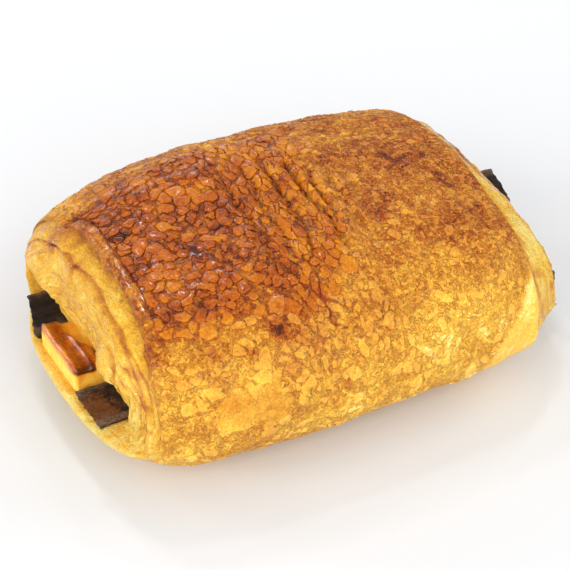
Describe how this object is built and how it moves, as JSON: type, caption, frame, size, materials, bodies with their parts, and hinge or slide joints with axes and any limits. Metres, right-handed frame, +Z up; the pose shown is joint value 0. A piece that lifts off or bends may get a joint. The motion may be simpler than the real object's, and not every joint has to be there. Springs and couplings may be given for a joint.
{
  "type": "pain au chocolat",
  "caption": "Baked laminated pastry roll, squarish in section and flat underneath, with chocolate sticks running through it and showing at the ends.",
  "frame": {"origin": "middle of the box of the whole pastry, on the surface that it rests on", "axes": "+Z up, +X along the roll and its chocolate sticks, -Y the front shown in the picture"},
  "size_m": [0.1036, 0.0729, 0.0373],
  "materials": {
    "crust": "golden to dark brown baked crust, glossy egg wash on top",
    "chocolate": "matte dark chocolate, slightly dusty"
  },
  "bodies": {
    "root": {"pastry": "crust", "chocolate_front": "chocolate", "chocolate_back": "chocolate"}
  },
  "joints": []
}
